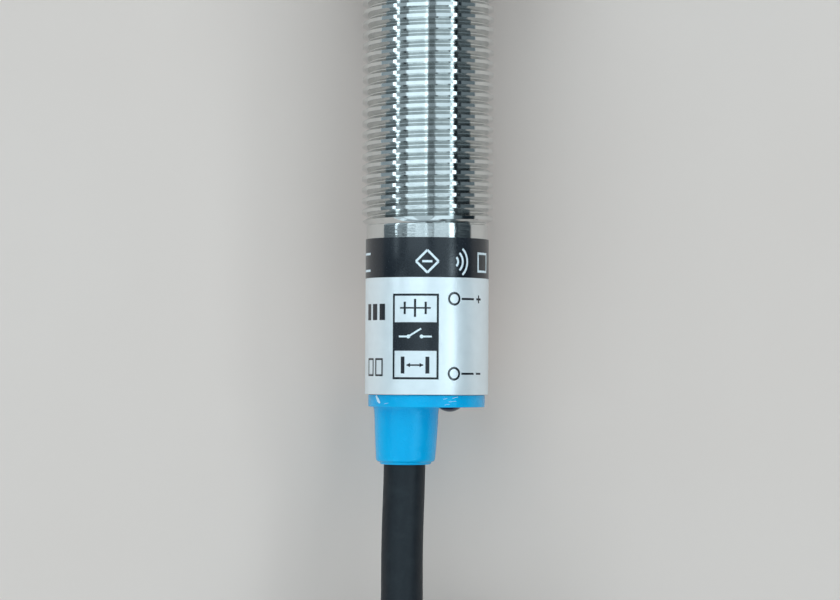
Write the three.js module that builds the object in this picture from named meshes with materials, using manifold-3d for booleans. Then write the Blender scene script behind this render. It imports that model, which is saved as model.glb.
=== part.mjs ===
// M12 x 1 cylindrical inductive proximity sensor with its two mounting nuts and its cable.
// Millimetres. +Y runs along the sensor towards the sensing face, +Z is up.
// The origin lies under the middle of the sensor's length, on the surface that the nuts stand on.
import * as THREE from "three";
import { mergeVertices } from "three/addons/utils/BufferGeometryUtils.js";
import Module from "manifold-3d";

const wasm = await Module();
wasm.setup();

// ---------------------------------------------------------------- driving dimensions

// M12 x 1 thread
const PITCH = 1;
const CREST_R = 5.94;
const ROOT_R = 5.385;
const CREST_FLAT = 0.3;
const ROOT_FLAT = 0.06;
const THREAD_STEPS = 24; // sections in one turn
const THREAD_CLEARANCE = 0.17; // radial, between barrel and nut

// lengths along the axis, from the rear
const COLLAR_LENGTH = 0.25;
const BOSS_LENGTH = 4.95;
const FLANGE_LENGTH = 1.1;
const LABEL_LENGTH = 14.0;
const NECK_LENGTH = 1.25;
const THREAD_LENGTH = 36.75;
const SENSING_LENGTH = 8.0;

// barrel
const NECK_R = 5.5;
const BORE_R = 4.9;
const LABEL_R = 5.57;
const LABEL_INSIDE_R = 5.52;
const FACETS = 32; // sides of a turned piece

// nuts and washers
const NUT_FLATS = 17;
const NUT_THICK = 4;
const WASHER_R = 8.4;
const WASHER_RING_R = 7.15;
const WASHER_TOOTH_R = 6.25;
const WASHER_THICK = 1;
const WASHER_TEETH = 12;
const WASHER_GAP = 0.05; // between a washer and its nut
const PANEL_GAP = 3; // between the two washers
const FRONT_NUT_SETBACK = 1.5; // from the front end of the thread

// rear cap, seen from above: the boss is to the left and the LED to the right
const FLANGE_R = 5.28;
const CAP_SKIRT_R = 4.78;
const CAP_SKIRT_INSIDE_R = 4.1;
const CAP_SKIRT_LENGTH = 6;
const BOSS_X = -1.85;
const BOSS_BASE_R = 2.95;
const BOSS_TIP_R = 2.68;
const COLLAR_R = 2.25;
const CABLE_X = -1.95;
const CABLE_R = 1.9;
const CABLE_BORE_R = 2.02;
const LED_X = 2.1;
const LED_R = 1.5;
const LED_PROUD = 0.45;

// circuit board
const BOARD_WIDTH = 8;
const BOARD_THICK = 0.8;
const BOARD_TOP = -0.2;
const BOARD_REAR = 13;
const BOARD_FRONT = 60.3;
const CORE_R = 0.55;
const WIRE_R = 0.12;
const LED_LEAD_R = 0.22;

// hank of cable behind the sensor: two columns of turns, the inner one four high
const HANK_BEND_R = 6 * CABLE_R;
const HANK_RUN = 45.4;
const HANK_NEAR_Y = -49.3;
const TAIL_END_Y = -80;
const TIE_WIDTH = 4;
const TIE_THICK = 0.5;
const LEAD_R = 0.65;
const TINNED_R = 0.4;

// places worked out from the lengths
const AXIS_HEIGHT = NUT_FLATS / 2;
const CAP_REAR = COLLAR_LENGTH;
const FLANGE_REAR = CAP_REAR + BOSS_LENGTH;
const BARREL_REAR = FLANGE_REAR + FLANGE_LENGTH;
const NECK_REAR = BARREL_REAR + LABEL_LENGTH;
const THREAD_REAR = NECK_REAR + NECK_LENGTH;
const THREAD_FRONT = THREAD_REAR + THREAD_LENGTH;
const SENSING_FACE = THREAD_FRONT + SENSING_LENGTH;
const FRONT_NUT_REAR = THREAD_FRONT - FRONT_NUT_SETBACK - NUT_THICK;
const FRONT_WASHER_REAR = FRONT_NUT_REAR - WASHER_GAP - WASHER_THICK;
const REAR_WASHER_REAR = FRONT_WASHER_REAR - PANEL_GAP - WASHER_THICK;
const REAR_NUT_REAR = REAR_WASHER_REAR - WASHER_GAP - NUT_THICK;

// ---------------------------------------------------------------- shape helpers

// A closed geometry as a manifold solid.
function solid(geometry) {
  const bare = geometry.clone();
  bare.deleteAttribute("normal");
  bare.deleteAttribute("uv");
  const merged = mergeVertices(bare, 1e-4);
  return new wasm.Manifold(
    new wasm.Mesh({
      numProp: 3,
      vertProperties: merged.attributes.position.array,
      triVerts: new Uint32Array(merged.index.array),
    }),
  );
}

// A manifold solid as a geometry.
function geometryOf(manifold) {
  const mesh = manifold.getMesh();
  const geometry = new THREE.BufferGeometry();
  geometry.setAttribute("position", new THREE.BufferAttribute(mesh.vertProperties, 3));
  geometry.setIndex(new THREE.BufferAttribute(mesh.triVerts, 1));
  return geometry;
}

// A solid turned about the Y axis. The profile is a closed loop of [radius, y], counter-clockwise.
function turned(profile, sides = FACETS) {
  const points = [...profile, profile[0]].map(([r, y]) => new THREE.Vector2(r, y));
  return new THREE.LatheGeometry(points, sides);
}

function disc(radius, from, to, sides = FACETS) {
  return turned([[0, from], [radius, from], [radius, to], [0, to]], sides);
}

function ring(inside, outside, from, to, sides = FACETS) {
  return turned([[inside, from], [outside, from], [outside, to], [inside, to]], sides);
}

function box(width, length, height, x, y, z) {
  return new THREE.BoxGeometry(width, length, height).translate(x, y, z);
}

function shifted(geometry, x, y, z) {
  return geometry.clone().translate(x, y, z);
}

// A round wire or cable along a smooth route of [x, y, z] points.
function tube(route, radius, steps, sides) {
  const curve = new THREE.CatmullRomCurve3(route.map((p) => new THREE.Vector3(...p)));
  const section = new THREE.Shape();
  for (let i = 0; i < sides; i++) {
    const angle = (2 * Math.PI * i) / sides;
    const x = radius * Math.cos(angle);
    const y = radius * Math.sin(angle);
    if (i === 0) section.moveTo(x, y);
    else section.lineTo(x, y);
  }
  section.closePath();
  return new THREE.ExtrudeGeometry(section, { steps, extrudePath: curve, curveSegments: 1 });
}

const part = new THREE.Group();
const sensor = new THREE.Group(); // y is measured from the rear end, on the sensor's axis
sensor.position.set(0, -SENSING_FACE / 2, AXIS_HEIGHT);
part.add(sensor);

function add(group, name, geometry, material) {
  const mesh = new THREE.Mesh(geometry, material);
  mesh.name = name;
  group.add(mesh);
}

// ---------------------------------------------------------------- materials

function paint(color, roughness, metalness = 0) {
  return new THREE.MeshStandardMaterial({ color, roughness, metalness });
}

const nickel = paint(0xc9ccce, 0.16, 1);
const steel = paint(0xb9bcbf, 0.3, 1);
const bluePlastic = paint(0x0097dc, 0.45);
const foil = paint(0xc6d4e0, 0.35, 0.4);
const ferrite = paint(0x2b2b2e, 0.7);
const bobbinPlastic = paint(0xe6e2d4, 0.5);
const copper = paint(0xb4633a, 0.3, 1);
const board = paint(0x1f6b3c, 0.45);
const blackEpoxy = paint(0x18181a, 0.5);
const ceramic = paint(0xb89a6c, 0.5);
const glassBody = paint(0xb5532d, 0.2);
const tantalum = paint(0xd9a521, 0.45);
const ledLens = paint(0x1b2a52, 0.12);
const resin = paint(0x3a3631, 0.3);
const jacket = paint(0x22282f, 0.6);
const tiePlastic = paint(0x202224, 0.5);
const brownPvc = paint(0x5e3a22, 0.5);
const bluePvc = paint(0x1f5fb0, 0.5);
const tin = paint(0xc4c6c8, 0.3, 1);

// ---------------------------------------------------------------- thread

// A right-handed threaded rod about the Y axis. Its surface is one helical strip of four faces,
// crest, flank, root and flank, and a cone closes each end. grow moves the surface outwards.
function threadedRod(from, to, grow) {
  const flank = (PITCH - CREST_FLAT - ROOT_FLAT) / 2;
  const crest = CREST_R + grow;
  const root = ROOT_R + grow;
  const profile = [
    [crest, -CREST_FLAT / 2],
    [crest, CREST_FLAT / 2],
    [root, CREST_FLAT / 2 + flank],
    [root, PITCH - CREST_FLAT / 2 - flank],
  ];
  const count = Math.round((to - from) / PITCH) * THREAD_STEPS;
  const positions = [];
  for (let i = 0; i <= count; i++) {
    const y = from + (i * PITCH) / THREAD_STEPS;
    const angle = (2 * Math.PI * y) / PITCH;
    for (const [r, offset] of profile) {
      positions.push(r * Math.sin(angle), y + offset, r * Math.cos(angle));
    }
  }
  const vertex = (i, k) => (k < 4 ? 4 * i + k : 4 * (i + THREAD_STEPS));
  const index = [];
  for (let i = 0; i < count; i++) {
    const faces = i < count - THREAD_STEPS ? 4 : 3;
    for (let k = 0; k < faces; k++) {
      const [a, b] = [vertex(i, k), vertex(i + 1, k)];
      const [c, d] = [vertex(i + 1, k + 1), vertex(i, k + 1)];
      index.push(a, b, c, a, c, d);
    }
  }
  const rearApex = positions.length / 3;
  positions.push(0, from - PITCH / 2, 0);
  const frontApex = rearApex + 1;
  positions.push(0, to + PITCH * 1.5, 0);
  const last = count - THREAD_STEPS;
  for (let i = 0; i < THREAD_STEPS; i++) {
    index.push(rearApex, vertex(i + 1, 0), vertex(i, 0));
    index.push(frontApex, vertex(last + i, 3), vertex(last + i + 1, 3));
  }
  for (let k = 0; k < 4; k++) {
    index.push(rearApex, vertex(0, k), vertex(0, k + 1));
  }
  index.push(frontApex, vertex(count, 0), vertex(last, 3));
  for (let k = 0; k < 3; k++) {
    index.push(frontApex, vertex(count, k + 1), vertex(count, k));
  }
  const geometry = new THREE.BufferGeometry();
  geometry.setAttribute("position", new THREE.BufferAttribute(new Float32Array(positions), 3));
  geometry.setIndex(index);
  return solid(geometry);
}

// The threaded tube: the rod is trimmed by a chamfered envelope at the front and runs out into the
// shoulder of the plain neck at the rear.
function barrelGeometry() {
  const chamfer = 0.6;
  const neck = disc(NECK_R, BARREL_REAR, THREAD_REAR);
  const envelope = turned([
    [0, THREAD_REAR - 0.3],
    [NECK_R - 0.1, THREAD_REAR - 0.3],
    [NECK_R - 0.1, THREAD_REAR],
    [CREST_R + 0.1, THREAD_REAR + chamfer],
    [CREST_R + 0.1, THREAD_FRONT - chamfer],
    [ROOT_R - 0.02, THREAD_FRONT],
    [0, THREAD_FRONT],
  ]);
  const rod = threadedRod(Math.floor(THREAD_REAR) - 2, Math.ceil(THREAD_FRONT) + 1, 0);
  const bore = solid(disc(BORE_R, BARREL_REAR - 1, THREAD_FRONT + 1));
  return geometryOf(rod.intersect(solid(envelope)).add(solid(neck)).subtract(bore));
}

// A hexagonal nut with chamfered corners, cut by the grown thread of the barrel.
function nutGeometry(rear) {
  const front = rear + NUT_THICK;
  const corner = NUT_FLATS / 2 / Math.cos(Math.PI / 6);
  const bevel = 0.55;
  const prism = turned(
    [[0, rear], [corner, rear], [corner, front], [0, front]],
    6,
  ).rotateY(Math.PI / 2);
  const rim = corner - 1.0;
  const chamfered = turned([
    [0, rear],
    [rim, rear],
    [corner + 0.05, rear + bevel],
    [corner + 0.05, front - bevel],
    [rim, front],
    [0, front],
  ]);
  const root = ROOT_R + THREAD_CLEARANCE;
  const mouth = CREST_R + THREAD_CLEARANCE + 0.15;
  const hole = turned([
    [0, rear - 1],
    [mouth, rear - 1],
    [mouth, rear],
    [root, rear + 0.5],
    [root, front - 0.5],
    [mouth, front],
    [mouth, front + 1],
    [0, front + 1],
  ]);
  const groove = threadedRod(Math.floor(rear) - 2, Math.ceil(front) + 1, THREAD_CLEARANCE);
  return geometryOf(
    solid(prism).intersect(solid(chamfered)).subtract(solid(hole)).subtract(groove),
  );
}

// A flat ring with square teeth pointing inwards.
function washerGeometry(rear) {
  let washer = solid(ring(WASHER_RING_R, WASHER_R, rear, rear + WASHER_THICK));
  const reach = WASHER_RING_R + 0.3;
  const long = reach - WASHER_TOOTH_R;
  for (let i = 0; i < WASHER_TEETH; i++) {
    const tooth = box(long, WASHER_THICK, 1.7, WASHER_TOOTH_R + long / 2, rear + WASHER_THICK / 2, 0)
      .rotateY((2 * Math.PI * i) / WASHER_TEETH);
    washer = washer.add(solid(tooth));
  }
  return geometryOf(washer);
}

// ---------------------------------------------------------------- housing

function sensingCapGeometry() {
  const outside = 5.2;
  const inside = 4.55;
  const skirt = 4.75;
  const skirtRear = THREAD_FRONT - 4;
  const seat = THREAD_FRONT + 0.05;
  const window = SENSING_FACE - 0.8;
  return turned([
    [inside - 0.25, skirtRear],
    [skirt, skirtRear],
    [skirt, seat],
    [outside, seat],
    [outside, SENSING_FACE - 0.4],
    [outside - 0.4, SENSING_FACE],
    [0, SENSING_FACE],
    [0, window],
    [inside, window],
    [inside, THREAD_FRONT - 3],
    [inside - 0.25, THREAD_FRONT - 3.3],
  ]);
}

// Flange, hollow skirt inside the barrel, tapered boss and collar, with the cable bore through the
// boss and a stepped hole for the LED through the flange.
function rearCapGeometry() {
  const shell = solid(
    turned([
      [0, FLANGE_REAR],
      [FLANGE_R - 0.15, FLANGE_REAR],
      [FLANGE_R, FLANGE_REAR + 0.15],
      [FLANGE_R, BARREL_REAR - 0.05],
      [CAP_SKIRT_R, BARREL_REAR - 0.05],
      [CAP_SKIRT_R, BARREL_REAR + CAP_SKIRT_LENGTH],
      [CAP_SKIRT_INSIDE_R, BARREL_REAR + CAP_SKIRT_LENGTH],
      [CAP_SKIRT_INSIDE_R, BARREL_REAR + 0.2],
      [0, BARREL_REAR + 0.2],
    ]),
  );
  const boss = solid(
    shifted(
      turned([
        [0, 0],
        [COLLAR_R, 0],
        [COLLAR_R, COLLAR_LENGTH],
        [BOSS_TIP_R - 0.35, COLLAR_LENGTH],
        [BOSS_TIP_R - 0.1, COLLAR_LENGTH + 0.12],
        [BOSS_TIP_R, COLLAR_LENGTH + 0.4],
        [BOSS_BASE_R, FLANGE_REAR + 0.3],
        [0, FLANGE_REAR + 0.3],
      ]),
      BOSS_X,
      0,
      0,
    ),
  );
  const cableBore = solid(shifted(disc(CABLE_BORE_R, -1, BARREL_REAR + 1, 24), CABLE_X, 0, 0));
  const window = solid(shifted(disc(1.22, FLANGE_REAR - 1, BARREL_REAR, 24), LED_X, 0, 0));
  const seat = solid(
    shifted(disc(LED_R + 0.12, FLANGE_REAR + 0.2, BARREL_REAR + 1, 24), LED_X, 0, 0),
  );
  return geometryOf(shell.add(boss).subtract(cableBore).subtract(window).subtract(seat));
}

function labelGeometry() {
  return ring(LABEL_INSIDE_R, LABEL_R, BARREL_REAR + 0.1, NECK_REAR);
}

// ---------------------------------------------------------------- inside

function ferriteCoreGeometry() {
  const rear = 61.1;
  const front = 65.2;
  const pot = turned([
    [0, rear],
    [4.4, rear],
    [4.4, front],
    [3.6, front],
    [3.6, rear + 1],
    [1.8, rear + 1],
    [1.8, front],
    [0, front],
  ]);
  const slot = box(1.6, 6, 2, 0, (rear + front) / 2, 4.3);
  return geometryOf(solid(pot).subtract(solid(slot)));
}

function coilBobbinGeometry() {
  return turned([
    [1.9, 62.2],
    [3.5, 62.2],
    [3.5, 62.5],
    [2.2, 62.5],
    [2.2, 64.7],
    [3.5, 64.7],
    [3.5, 65.0],
    [1.9, 65.0],
  ]);
}

// One end of the winding, led back through the slot of the core to the board.
function coilLeadGeometry(side) {
  const route = [
    [side * 0.4, 63.6, 3.6],
    [side * 0.42, 63.1, 3.85],
    [side * 0.45, 62.0, 3.95],
    [side * 0.5, 60.8, 3.9],
    [side * 0.9, 60.2, 3.2],
    [side * 1.3, 59.6, 1.6],
    [side * 1.4, 59.0, 0.4],
    [side * 1.4, 58.6, 0.0],
  ];
  return tube(route, WIRE_R, 14, 6);
}

function circuitBoardGeometry() {
  const length = BOARD_FRONT - BOARD_REAR;
  const middle = (BOARD_FRONT + BOARD_REAR) / 2;
  return box(BOARD_WIDTH, length, BOARD_THICK, 0, middle, BOARD_TOP - BOARD_THICK / 2);
}

// A moulded chip on the board, with pins along its two long sides.
function chipGeometry(width, length, height, x, y, pins, pitch) {
  const low = BOARD_TOP + 0.05;
  let chip = solid(box(width, length, height, x, y, low + 0.1 + height / 2));
  for (let i = 0; i < pins; i++) {
    const along = y + (i - (pins - 1) / 2) * pitch;
    for (const side of [-1, 1]) {
      const reach = x + side * (width / 2 + 0.45);
      const foot = box(0.9, 0.4, 0.2, reach, along, low + 0.1);
      const leg = box(0.35, 0.4, height / 2 + 0.1, x + side * (width / 2 + 0.1), along,
        low + (height / 2 + 0.1) / 2);
      chip = chip.add(solid(foot)).add(solid(leg));
    }
  }
  return geometryOf(chip);
}

// A chip component with a metal cap at each end, lying across or along the board.
function chipPartGeometry(length, width, height, x, y, across) {
  const z = BOARD_TOP + 0.05 + height / 2;
  const end = length * 0.2;
  let body = solid(box(length - end, width, height, 0, 0, 0));
  for (const side of [-1, 1]) {
    const cap = box(end, width + 0.06, height + 0.06, (side * (length - end)) / 2, 0, 0.03);
    body = body.add(solid(cap));
  }
  const geometry = geometryOf(body);
  if (!across) geometry.rotateZ(Math.PI / 2);
  return geometry.translate(x, y, z);
}

// A glass diode with round end caps.
function glassDiodeGeometry(x, y) {
  const profile = [
    [0, -1.75],
    [0.75, -1.75],
    [0.75, -1.25],
    [0.66, -1.25],
    [0.66, 1.25],
    [0.75, 1.25],
    [0.75, 1.75],
    [0, 1.75],
  ];
  return turned(profile, 12).rotateZ(Math.PI / 2).translate(x, y, BOARD_TOP + 0.82);
}

// Domed 3 mm LED with its rim, its dome reaching through the flange of the rear cap.
function indicatorLedGeometry() {
  const top = FLANGE_REAR - LED_PROUD;
  const profile = [[0, top]];
  for (let degrees = 18; degrees <= 90; degrees += 18) {
    const angle = (degrees * Math.PI) / 180;
    profile.push([LED_R * Math.sin(angle), top + LED_R * (1 - Math.cos(angle))]);
  }
  profile.push([LED_R, 8.3], [1.85, 8.3], [1.85, 9.2], [0, 9.2]);
  return shifted(turned(profile, 16), LED_X, 0, 0);
}

function ledLeadRoute(side) {
  const x = LED_X + side * 1.27;
  return [[x, 9.26, 0.1], [x, 11, 0.1], [x, 13, 0.1], [x, 15.5, 0.1]];
}

// The two insulated cores between the end of the cable's jacket and the board.
function coreRoute(side) {
  return [
    [CABLE_X + side * 0.62, 8.6, 0],
    [CABLE_X + side * 0.62, 9.8, 0.05],
    [CABLE_X + side * 0.66, 11.4, 0.3],
    [CABLE_X + side * 0.72, 13, 0.47],
    [CABLE_X + side * 0.76, 15, 0.45],
    [CABLE_X + side * 0.76, 17, 0.42],
  ];
}

// Cured resin in the rear cap, with the wires passing through it.
function pottingPlugGeometry() {
  let plug = solid(disc(CAP_SKIRT_INSIDE_R - 0.15, 9.8, 12));
  for (const side of [-1, 1]) {
    plug = plug.subtract(solid(tube(ledLeadRoute(side), LED_LEAD_R + 0.1, 4, 8)));
    plug = plug.subtract(solid(tube(coreRoute(side), CORE_R + 0.06, 12, 8)));
  }
  return geometryOf(plug);
}

// ---------------------------------------------------------------- cable

// From the housing, out of the boss, and up over the near end of the hank, in the part's frame.
const CABLE_ROUTE = [
  [-1.95, -24.7, 8.5],
  [-1.95, -27.5, 8.5],
  [-1.95, -30.3, 8.5],
  [-1.95, -33.15, 8.5],
  [-1.97, -34.5, 8.5],
  [-2.01, -36, 8.53],
  [-2.06, -37.5, 8.65],
  [-2.1, -39, 8.85],
  [-2.13, -41, 9.23],
  [-2.13, -43, 9.71],
  [-2.12, -45, 10.28],
  [-2.16, -47, 10.88],
  [-2.3, -49, 11.48],
  [-2.62, -51, 12.06],
  [-2.95, -52.3, 12.4],
];

// The outline of the loop that a turn of the hank makes, seen from above.
function loopOutline(radius, path) {
  const near = HANK_NEAR_Y - HANK_BEND_R - 3 * CABLE_R;
  const far = near - HANK_RUN;
  path.moveTo(radius, near);
  path.absarc(0, near, radius, 0, Math.PI, false);
  path.lineTo(-radius, far);
  path.absarc(0, far, radius, Math.PI, 2 * Math.PI, false);
  path.closePath();
  return path;
}

function loopRing(inside, outside, low, high) {
  const shape = loopOutline(outside, new THREE.Shape());
  shape.holes.push(loopOutline(inside, new THREE.Path()));
  const geometry = new THREE.ExtrudeGeometry(shape, {
    depth: high - low,
    bevelEnabled: false,
    curveSegments: 12,
  });
  return solid(geometry.translate(0, 0, low));
}

// The convex outline that the tie follows across the hank, as [x, z] points.
function tieOutline(grow) {
  const squeeze = TIE_THICK;
  const outer = HANK_BEND_R + 2 * CABLE_R - squeeze;
  const inner = HANK_BEND_R - squeeze;
  const low = CABLE_R + TIE_THICK;
  const level = (n) => low + 2 * CABLE_R * n;
  const strands = [
    [-outer, level(0), 180, 270],
    [outer, level(0), 270, 360],
    [outer, level(2), 0, 60],
    [inner, level(3), 60, 90],
    [-inner, level(3), 90, 150],
    [-outer, level(1), 150, 180],
  ];
  const r = CABLE_R + grow;
  const points = [];
  for (const [x, z, from, to] of strands) {
    for (let degrees = from; degrees <= to; degrees += 15) {
      const angle = (degrees * Math.PI) / 180;
      points.push([x + r * Math.cos(angle), z + r * Math.sin(angle)]);
    }
  }
  return points;
}

function tieMiddle() {
  return HANK_NEAR_Y - HANK_BEND_R - 3 * CABLE_R - HANK_RUN / 2;
}

// A plate of the given outline across the hank, width long, with an optional hole.
function crossPlate(outline, hole, width) {
  const place = (path, points) => path.setFromPoints(points.map(([x, z]) => new THREE.Vector2(x, z)));
  const shape = place(new THREE.Shape(), outline);
  if (hole) shape.holes.push(place(new THREE.Path(), hole));
  const geometry = new THREE.ExtrudeGeometry(shape, { depth: width, bevelEnabled: false });
  return solid(geometry.rotateX(Math.PI / 2).translate(0, tieMiddle() + width / 2, 0));
}

// The outer shape of the hank: turns two high outside and four high inside, with a third turn on
// the outer column up to the end of the jacket, and a groove where the tie squeezes it.
function cableHankGeometry() {
  const inside = HANK_BEND_R - CABLE_R;
  const middle = HANK_BEND_R + CABLE_R;
  const outside = HANK_BEND_R + 3 * CABLE_R;
  const turn = 2 * CABLE_R;
  const far = HANK_NEAR_Y - outside - HANK_RUN;
  const lower = loopRing(inside, outside, 0, 2 * turn);
  const inner = loopRing(inside, middle, 2 * turn - 0.1, 4 * turn);
  const rightSide = solid(box(40, TAIL_END_Y - far + 40, 10, 20, (TAIL_END_Y + far - 40) / 2, 10));
  const third = loopRing(middle - 0.1, outside, 2 * turn - 0.1, 3 * turn).intersect(rightSide);
  const room = [[-30, -5], [30, -5], [30, 30], [-30, 30]];
  const groove = crossPlate(room, tieOutline(-0.12), TIE_WIDTH + 0.4);
  return geometryOf(lower.add(inner).add(third).subtract(groove));
}

// A flat twist tie: a band round the hank and its twisted ends lying along the top.
function cableTieGeometry() {
  const band = crossPlate(tieOutline(TIE_THICK), tieOutline(0), TIE_WIDTH);
  const top = 9 * CABLE_R + TIE_THICK - CABLE_R + TIE_THICK;
  const ends = disc(0.8, 0, 14, 8).translate(2, tieMiddle() - 1, top + 0.6);
  return geometryOf(band.add(solid(ends)));
}

const BROWN_ROUTE = [
  [15.9, -79.6, 9.5],
  [15.95, -77.5, 9.3],
  [15.9, -75, 8.75],
  [15.85, -72, 8.45],
  [15.8, -69, 8.38],
  [15.75, -66, 8.36],
  [15.35, -62.8, 8.36],
  [14.3, -59.6, 8.36],
  [12.7, -56.8, 8.36],
  [10.6, -54.5, 8.36],
  [8.4, -52.9, 8.36],
];

const BLUE_ROUTE = [
  [14.5, -79.6, 9.5],
  [14.45, -77.5, 9.25],
  [14.45, -75, 8.7],
  [14.4, -72, 8.42],
  [14.4, -69, 8.36],
  [14.35, -66, 8.36],
  [14.0, -63.2, 8.36],
  [13.1, -60.4, 8.36],
  [11.6, -57.9, 8.36],
  [9.7, -55.9, 8.36],
];

// The bare tinned strands past the end of a lead's insulation, straight on from it.
function tinnedEndGeometry(route) {
  const [before, last] = route.slice(-2).map((p) => new THREE.Vector3(...p));
  const direction = last.clone().sub(before).normalize();
  const start = last.clone().addScaledVector(direction, 0.1);
  const end = last.clone().addScaledVector(direction, 5);
  return tube([start.toArray(), end.toArray()], TINNED_R, 2, 8);
}

// ---------------------------------------------------------------- assembly

add(sensor, "barrel", barrelGeometry(), nickel);
add(sensor, "sensing_cap", sensingCapGeometry(), bluePlastic);
add(sensor, "rear_cap", rearCapGeometry(), bluePlastic);
add(sensor, "label", labelGeometry(), foil);
add(sensor, "front_nut", nutGeometry(FRONT_NUT_REAR), nickel);
add(sensor, "front_washer", washerGeometry(FRONT_WASHER_REAR), steel);
add(sensor, "rear_washer", washerGeometry(REAR_WASHER_REAR), steel);
add(sensor, "rear_nut", nutGeometry(REAR_NUT_REAR), nickel);

add(sensor, "ferrite_core", ferriteCoreGeometry(), ferrite);
add(sensor, "coil_bobbin", coilBobbinGeometry(), bobbinPlastic);
add(sensor, "coil_winding", ring(2.25, 3.3, 62.55, 64.65), copper);
add(sensor, "coil_lead_start", coilLeadGeometry(-1), copper);
add(sensor, "coil_lead_end", coilLeadGeometry(1), copper);
add(sensor, "circuit_board", circuitBoardGeometry(), board);
add(sensor, "oscillator_ic", chipGeometry(3.9, 4.9, 1.4, 0, 51, 4, 1.27), blackEpoxy);
add(sensor, "output_transistor", chipGeometry(3.5, 6.5, 1.6, 0, 24, 2, 4.6), blackEpoxy);
add(sensor, "protection_diode", chipPartGeometry(4.6, 2.6, 2.1, 0, 31.5, false), blackEpoxy);
add(sensor, "zener_diode", glassDiodeGeometry(0, 36.5), glassBody);
add(sensor, "smoothing_capacitor", chipPartGeometry(3.5, 2.8, 1.9, 0, 41, true), tantalum);
add(sensor, "tuning_capacitor", chipPartGeometry(2, 1.25, 0.95, 0, 56.5, true), ceramic);
add(sensor, "sensitivity_resistor", chipPartGeometry(3.2, 1.6, 0.6, -1.8, 45.6, false), blackEpoxy);
add(sensor, "feedback_resistor", chipPartGeometry(2, 1.25, 0.55, 1.8, 45.6, false), blackEpoxy);
add(sensor, "bias_resistor", chipPartGeometry(2, 1.25, 0.55, 2.9, 36.5, false), blackEpoxy);
add(sensor, "led_resistor", chipPartGeometry(2, 1.25, 0.55, 2.4, 18.4, false), blackEpoxy);
add(sensor, "indicator_led", indicatorLedGeometry(), ledLens);
add(sensor, "led_lead_anode", tube(ledLeadRoute(-1), LED_LEAD_R, 3, 6), tin);
add(sensor, "led_lead_cathode", tube(ledLeadRoute(1), LED_LEAD_R, 3, 6), tin);
add(sensor, "brown_core", tube(coreRoute(-1), CORE_R, 12, 8), brownPvc);
add(sensor, "blue_core", tube(coreRoute(1), CORE_R, 12, 8), bluePvc);
add(sensor, "potting_plug", pottingPlugGeometry(), resin);

add(part, "cable_jacket", tube(CABLE_ROUTE, CABLE_R, 16, 12), jacket);
add(part, "cable_hank", cableHankGeometry(), jacket);
add(part, "cable_tie", cableTieGeometry(), tiePlastic);
add(part, "brown_lead", tube(BROWN_ROUTE, LEAD_R, 14, 8), brownPvc);
add(part, "blue_lead", tube(BLUE_ROUTE, LEAD_R, 14, 8), bluePvc);
add(part, "brown_tinned_end", tinnedEndGeometry(BROWN_ROUTE), tin);
add(part, "blue_tinned_end", tinnedEndGeometry(BLUE_ROUTE), tin);

export default part;
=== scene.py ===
"""M12 proximity sensor with its nuts, washers and cable, laid on a pale board."""
import math

import bmesh
import bpy
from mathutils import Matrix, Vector


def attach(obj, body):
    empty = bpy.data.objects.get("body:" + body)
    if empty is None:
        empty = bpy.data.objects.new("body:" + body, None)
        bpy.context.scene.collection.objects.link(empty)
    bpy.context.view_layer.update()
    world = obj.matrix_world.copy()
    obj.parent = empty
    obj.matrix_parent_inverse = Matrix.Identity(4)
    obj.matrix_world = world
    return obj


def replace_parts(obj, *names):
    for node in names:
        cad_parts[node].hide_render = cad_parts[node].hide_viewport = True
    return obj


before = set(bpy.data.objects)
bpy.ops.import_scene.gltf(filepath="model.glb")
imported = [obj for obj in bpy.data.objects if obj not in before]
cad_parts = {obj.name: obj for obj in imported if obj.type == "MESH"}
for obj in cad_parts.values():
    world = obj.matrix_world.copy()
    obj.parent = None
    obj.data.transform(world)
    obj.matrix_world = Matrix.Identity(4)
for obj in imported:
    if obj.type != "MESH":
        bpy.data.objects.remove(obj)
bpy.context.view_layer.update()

# ------------------------------------------------------------------ dimensions, in millimetres

AXIS_HEIGHT = 8.5  # half of NUT_FLATS: the sensor lies on its nuts
MIDDLE = 33.15  # the sensor's half length: station 0 is at y = -MIDDLE

CREST_R = 5.94
ROOT_R = 5.385
NECK_R = 5.5
BORE_R = 4.92
LABEL_R = 5.57
LABEL_INNER_R = 5.515

BARREL_REAR = 6.3
LABEL_REAR = 6.33
BAND_REAR = 16.75  # the label's black band starts here and ends at NECK_REAR
NECK_REAR = 20.3
THREAD_REAR = 21.55
THREAD_FRONT = 58.3

SENSING_FACE = 66.3
SENSING_R = 5.2
SENSING_SPIGOT_R = 4.85
FLANGE_REAR = 5.2
FLANGE_FRONT = 6.28
FLANGE_R = 5.28
REAR_SPIGOT_R = 4.78
REAR_SPIGOT_FRONT = 12.3

ON_AXIS = 0.001  # the radius that stands for a point on a turned shape's axis

LED_X = 2.1
LED_R = 1.5
LED_APEX = 4.75

NUT_FLATS = 17.0
NUT_THICK = 4.0
NUT_THREAD_GAP = 0.06
FRONT_NUT_REAR = 52.8
REAR_NUT_REAR = 43.7
WASHER_SPACE = 1.0
FRONT_WASHER_REAR = 51.75
REAR_WASHER_REAR = 47.75

BOSS_REAR_X = -1.87
BOSS_FRONT_X = -1.79
BOSS_BORE_R = 2.02
CABLE_X = -1.95  # where the cable leaves the boss
CABLE_R = 1.9
LEAD_R = 0.65
HANK_BEND_R = 11.4
HANK_RUN = 45.4
HANK_NEAR_CENTRE = -66.4
STRAND = 2 * CABLE_R
TIE_MIDDLE = -89.1
TIE_WIDTH = 4.0
TIE_THICK = 0.5
TAIL_END_Y = -80.0  # where the jacket ends

AROUND = 72  # points round a turned piece

# ------------------------------------------------------------------ mesh helpers


def metres(points):
    return [tuple(c * 0.001 for c in p) for p in points]


def turn_angles(count):
    """Angles that share one turn into equal steps."""
    return [2 * math.pi * j / count for j in range(count)]


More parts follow.
